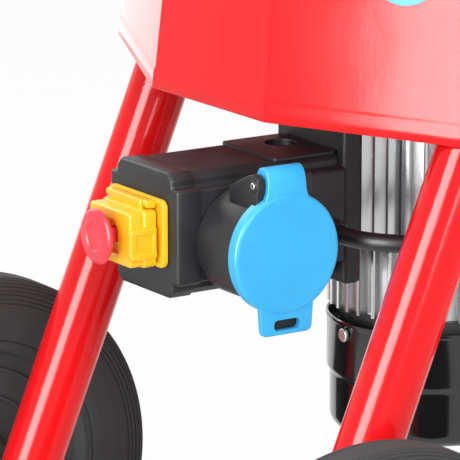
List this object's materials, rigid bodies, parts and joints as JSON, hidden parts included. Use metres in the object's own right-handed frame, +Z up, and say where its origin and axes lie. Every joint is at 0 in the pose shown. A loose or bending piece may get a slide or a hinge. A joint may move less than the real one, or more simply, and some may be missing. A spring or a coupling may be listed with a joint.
{
  "type": "wheeled garden shredder",
  "caption": "Upright electric garden shredder on a wheeled tube frame, with a many-sided red housing, feed hopper, vertical finned motor, switch box and lidded power inlet.",
  "frame": {"origin": "on the floor under the motor axis, which is also the middle of the machine's bounding box", "axes": "+Z up, X along the wheel axle with +X the side the power inlet faces, -Y the side of the wheels and the switch"},
  "size_m": [0.538, 0.6564, 0.8713],
  "materials": {
    "red_paint": "glossy red powder coat with slight orange peel",
    "black_plastic": "fine-grained grey-black moulded plastic",
    "black_rubber": "matt moulded rubber",
    "tyre_rubber": "solid ribbed rubber",
    "rim_plastic": "moulded black plastic hub",
    "zinc_steel": "zinc-plated fasteners and pins",
    "bright_steel": "ground steel",
    "blade_steel": "hardened and ground",
    "dark_steel": "blackened steel",
    "motor_aluminium": "extruded, natural finish",
    "motor_iron": "black paint on castings",
    "cowl_black": "gloss black on pressed steel",
    "copper": "varnished winding and laminations",
    "capacitor_white": "plain plastic can",
    "lead_black": "smooth cable jacket",
    "switch_yellow": "moulded yellow plastic",
    "stop_red": "moulded red plastic",
    "start_green": "moulded green plastic",
    "lid_blue": "moulded light-blue plastic, satin"
  },
  "bodies": {
    "frame": {"wheel_leg_left": "red_paint", "wheel_leg_right": "red_paint", "foot_leg_left": "red_paint", "foot_leg_right": "red_paint", "foot_cross_tube": "red_paint", "transport_handle": "red_paint", "deck": "red_paint", "blade_housing": "red_paint", "discharge_chute": "red_paint", "leg_plugs": "black_plastic", "axle_spacers": "black_plastic", "adapter_plate": "black_plastic", "capacitor_box": "black_plastic", "lead_glands": "black_plastic", "switch_box_base": "black_plastic", "switch_box_cover": "black_plastic", "switch_block": "black_plastic", "power_inlet": "black_plastic", "rubber_feet": "black_rubber", "handle_grip": "black_rubber", "axle": "zinc_steel", "axle_washers": "zinc_steel", "axle_cap_nuts": "zinc_steel", "leg_bolts": "zinc_steel", "housing_bolts": "zinc_steel", "chute_flap_pin": "zinc_steel", "hopper_hinge_pin": "zinc_steel", "flange_bolts": "zinc_steel", "cowl_screws": "zinc_steel", "motor_bearings": "bright_steel", "counter_blade": "bright_steel", "hopper_hinge": "dark_steel", "motor_barrel": "motor_aluminium", "motor_flange": "motor_iron", "lower_shield": "motor_iron", "fan_cowl": "cowl_black", "stator": "copper", "capacitor": "capacitor_white", "motor_lead": "lead_black", "switch_plate": "switch_yellow"},
    "wheel_left": {"tyre_left": "tyre_rubber", "wheel_rim_left": "rim_plastic"},
    "wheel_right": {"tyre_right": "tyre_rubber", "wheel_rim_right": "rim_plastic"},
    "rotor": {"blade_disc": "bright_steel", "blades": "blade_steel", "blade_bolts": "dark_steel", "disc_retainer": "zinc_steel", "rotor_core": "dark_steel", "motor_shaft": "bright_steel", "cooling_fan": "black_plastic"},
    "hopper": {"feed_hopper": "red_paint"},
    "knob_left_turner": {"knob_left": "black_plastic"},
    "knob_right_turner": {"knob_right": "black_plastic"},
    "chute_cover": {"chute_flap": "red_paint"},
    "switch_cover": {"switch_flap": "switch_yellow"},
    "stop_mushroom": {"stop_button": "stop_red"},
    "stop_inner": {"stop_plunger": "stop_red"},
    "start_inner": {"start_plunger": "start_green"},
    "lid": {"inlet_lid": "lid_blue"}
  },
  "joints": [
    {"name": "wheel_left_spin", "type": "hinge", "parent": "frame", "child": "wheel_left", "pos_m": [-0.231, -0.2032, 0.125], "axis": [1, 0, 0], "continuous": true},
    {"name": "wheel_right_spin", "type": "hinge", "parent": "frame", "child": "wheel_right", "pos_m": [0.231, -0.2032, 0.125], "axis": [1, 0, 0], "continuous": true},
    {"name": "rotor_spin", "type": "hinge", "parent": "frame", "child": "rotor", "pos_m": [0, 0, 0.428], "axis": [0, 0, 1], "continuous": true},
    {"name": "hopper_tilt", "type": "hinge", "parent": "frame", "child": "hopper", "pos_m": [0, 0.104, 0.516], "axis": [-1, 0, 0], "range_deg": [0, 85]},
    {"name": "knob_left_turn", "type": "hinge", "parent": "hopper", "child": "knob_left_turner", "pos_m": [-0.052, -0.084, 0.515], "axis": [0, 0, 1], "continuous": true},
    {"name": "knob_right_turn", "type": "hinge", "parent": "hopper", "child": "knob_right_turner", "pos_m": [0.052, -0.084, 0.515], "axis": [0, 0, 1], "continuous": true},
    {"name": "chute_flap_swing", "type": "hinge", "parent": "frame", "child": "chute_cover", "pos_m": [0, 0.23, 0.503], "axis": [1, 0, 0], "range_deg": [0, 70]},
    {"name": "switch_cover_lift", "type": "hinge", "parent": "frame", "child": "switch_cover", "pos_m": [-0.003, -0.2205, 0.3477], "axis": [-1, 0, 0], "range_deg": [0, 100]},
    {"name": "stop_press", "type": "slide", "parent": "switch_cover", "child": "stop_mushroom", "axis": [0, 1, 0], "range_m": [0, 0.003], "stiffness_N_per_m": 900},
    {"name": "stop_plunger_press", "type": "slide", "parent": "frame", "child": "stop_inner", "axis": [0, 1, 0], "range_m": [0, 0.003], "stiffness_N_per_m": 900},
    {"name": "start_press", "type": "slide", "parent": "frame", "child": "start_inner", "axis": [0, 1, 0], "range_m": [0, 0.003], "stiffness_N_per_m": 900},
    {"name": "inlet_lid_swing", "type": "hinge", "parent": "frame", "child": "lid", "pos_m": [0.081, -0.166, 0.3654], "axis": [0, -1, 0], "range_deg": [0, 110], "stiffness_Nm_per_rad": 0.04}
  ],
  "couplings": [
    {"joint": "stop_plunger_press", "follows": "stop_press", "ratio": 1}
  ]
}
